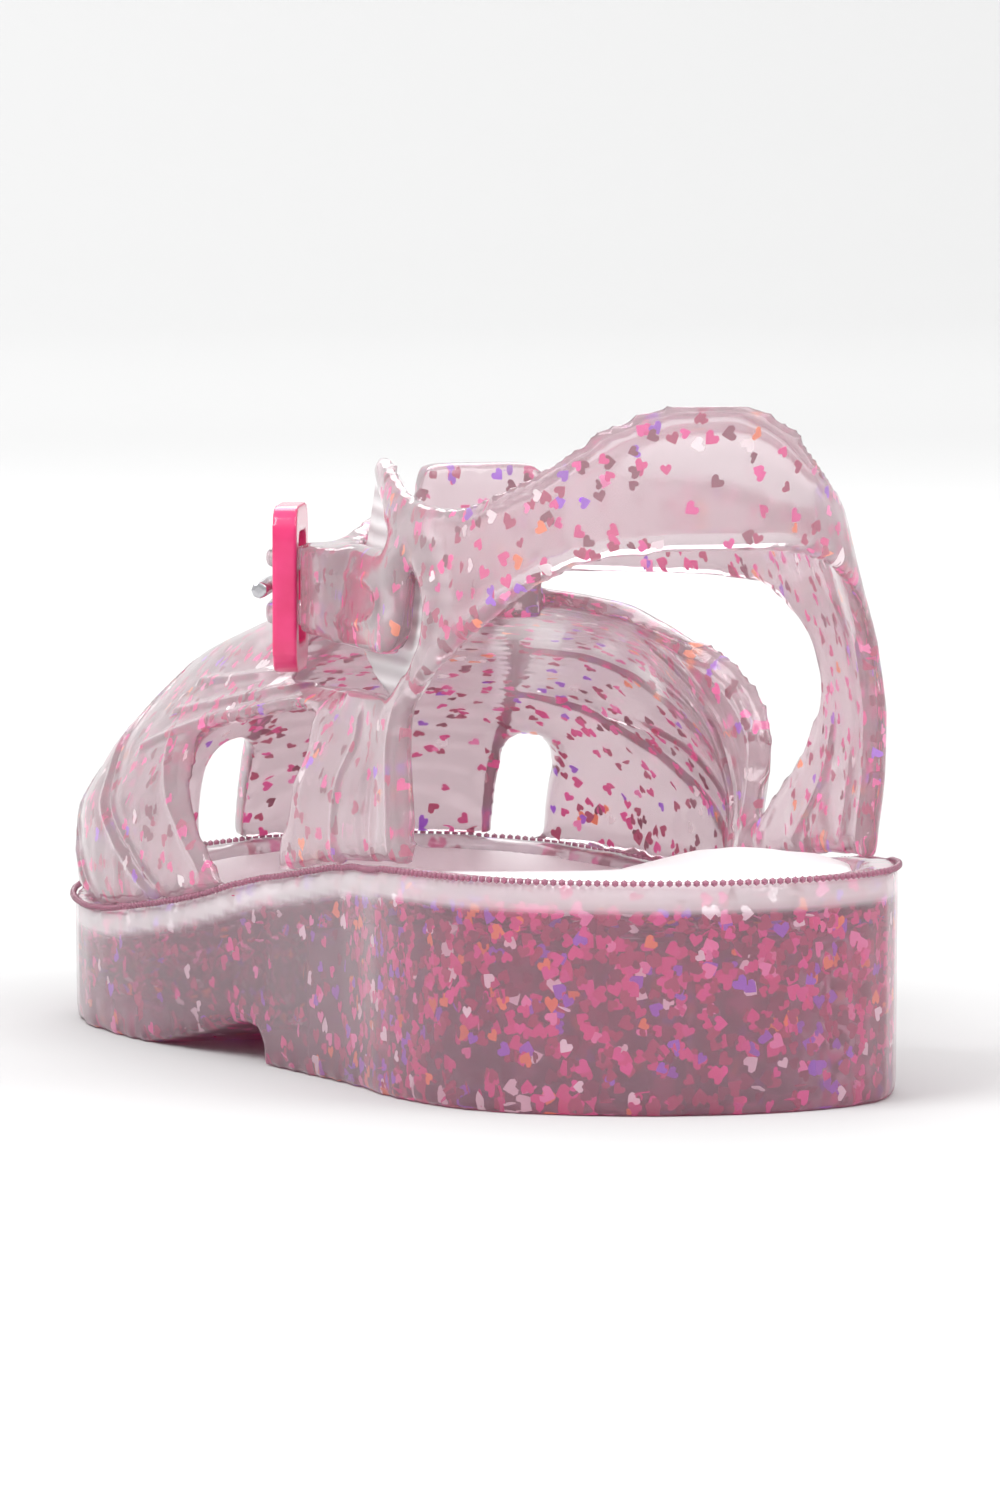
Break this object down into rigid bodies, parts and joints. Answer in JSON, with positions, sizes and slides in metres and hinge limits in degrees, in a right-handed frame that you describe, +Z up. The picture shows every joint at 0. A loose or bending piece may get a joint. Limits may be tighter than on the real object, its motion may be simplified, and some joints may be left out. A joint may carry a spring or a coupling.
{
  "type": "toddler jelly sandal",
  "caption": "Toddler's clear jelly sandal for the left foot, with moulded strap upper, heel band, ankle strap with buckle, white insole and hollow-heeled studded sole.",
  "frame": {"origin": "middle of the footprint's bounding box, on the floor", "axes": "+Y from heel to toe, +X towards the inner side of the foot, +Z up"},
  "size_m": [0.0706, 0.157, 0.0672],
  "materials": {
    "sole_jelly": "moulded translucent mauve-pink soft plastic with heart flakes, glossy",
    "white_insole": "moulded white foam, satin",
    "clear_jelly": "moulded clear pink-tinted soft plastic with heart flakes, glossy",
    "white_pad": "finely ribbed translucent white, matt",
    "pink_enamel": "hot pink enamel, glossy",
    "bright_metal": "bright plated steel"
  },
  "bodies": {
    "root": {"outsole": "sole_jelly", "insole": "white_insole", "upper": "clear_jelly", "closure_pad": "white_pad", "buckle_frame": "pink_enamel", "buckle_prong": "bright_metal"}
  },
  "joints": []
}
